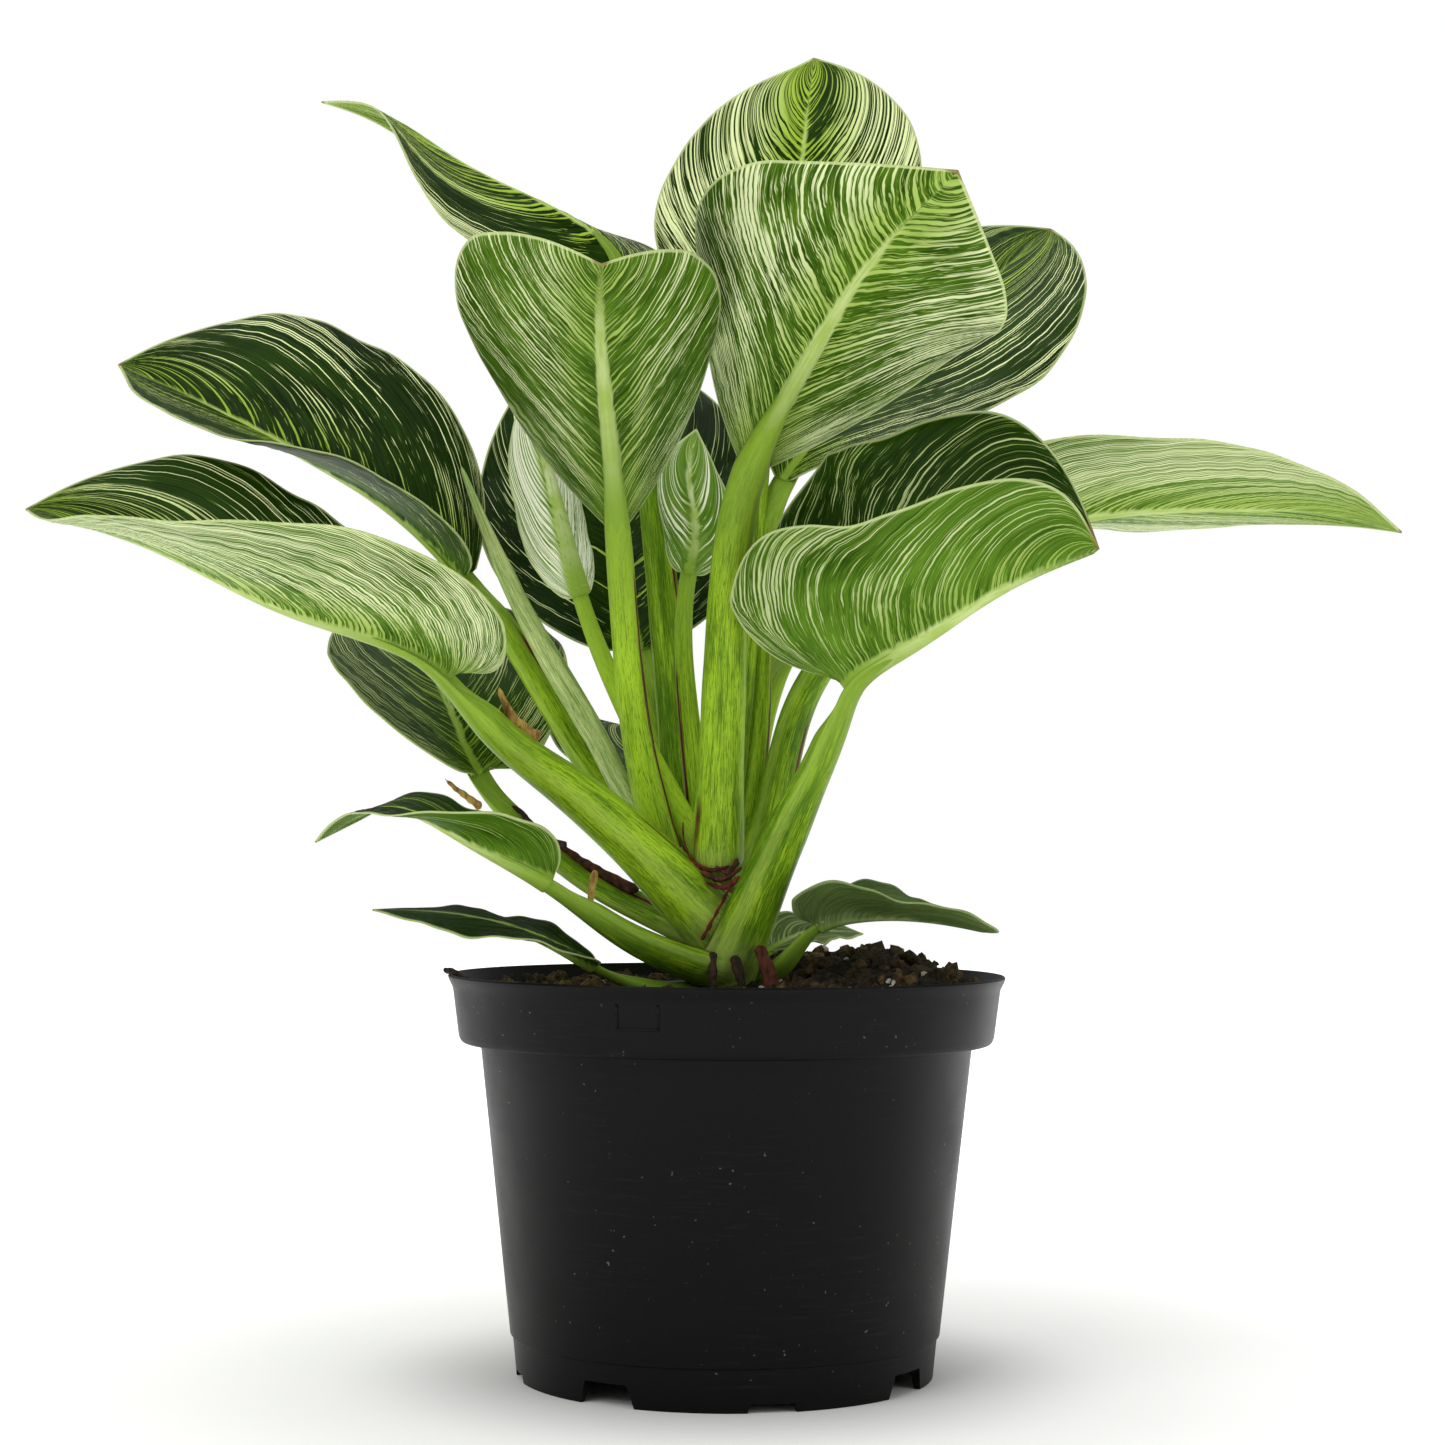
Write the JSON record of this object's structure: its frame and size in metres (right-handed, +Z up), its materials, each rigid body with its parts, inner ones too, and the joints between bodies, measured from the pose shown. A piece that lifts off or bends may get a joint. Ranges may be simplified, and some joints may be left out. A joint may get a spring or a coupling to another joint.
{
  "type": "potted houseplant",
  "caption": "Potted birkin philodendron: dark green leaves with cream pinstripes on long green stalks, in a plain black nursery pot.",
  "frame": {"origin": "on the pot's axis, in the plane that the pot stands on", "axes": "+Z up along the pot's axis; the front of the plant, as pictured, looks along -Y, and +X is to the picture's right"},
  "size_m": [0.4122, 0.2797, 0.4114],
  "materials": {
    "pot_plastic": "satin black moulded polypropylene",
    "potting_soil": "loose dark peat with bark and perlite",
    "striped_leaf": "smooth leaf skin, dark green with cream pinstripes",
    "young_leaf": "smooth leaf skin, cream with green streaks",
    "old_leaf": "dull, speckled grey-green leaf skin",
    "stalk_skin": "smooth lime-green stalk skin",
    "root_bark": "rough brown aerial root",
    "dry_sheath": "dry red-brown bud sheath"
  },
  "bodies": {
    "root": {"pot": "pot_plastic", "soil": "potting_soil", "stem": "stalk_skin", "stalk_left_twisted": "stalk_skin", "blade_left_twisted": "striped_leaf", "stalk_right_cupped": "stalk_skin", "blade_right_cupped": "striped_leaf", "stalk_left_long": "stalk_skin", "blade_left_long": "striped_leaf", "stalk_front_right": "stalk_skin", "blade_front_right": "striped_leaf", "stalk_front_left": "stalk_skin", "blade_front_left": "striped_leaf", "stalk_low_right": "stalk_skin", "blade_low_right": "striped_leaf", "stalk_low_left": "stalk_skin", "blade_low_left": "striped_leaf", "stalk_left_upper": "stalk_skin", "blade_left_upper": "striped_leaf", "stalk_young_curled": "stalk_skin", "blade_young_curled": "young_leaf", "stalk_young_pale": "stalk_skin", "blade_young_pale": "young_leaf", "stalk_right_far": "stalk_skin", "blade_right_far": "striped_leaf", "stalk_left_shaded": "stalk_skin", "blade_left_shaded": "striped_leaf", "stalk_back_right": "stalk_skin", "blade_back_right": "striped_leaf", "stalk_back_top": "stalk_skin", "blade_back_top": "striped_leaf", "stalk_back_left": "stalk_skin", "blade_back_left": "striped_leaf", "stalk_right_hidden": "stalk_skin", "blade_right_hidden": "striped_leaf", "stalk_low_back": "stalk_skin", "blade_low_back": "striped_leaf", "stalk_back_dark": "stalk_skin", "blade_back_dark": "striped_leaf", "stalk_old_pale": "stalk_skin", "blade_old_pale": "old_leaf", "rolled_leaf": "young_leaf", "root_front": "root_bark", "root_front_right": "root_bark", "dry_sheath": "dry_sheath", "dry_bract_left": "dry_sheath"}
  },
  "joints": []
}
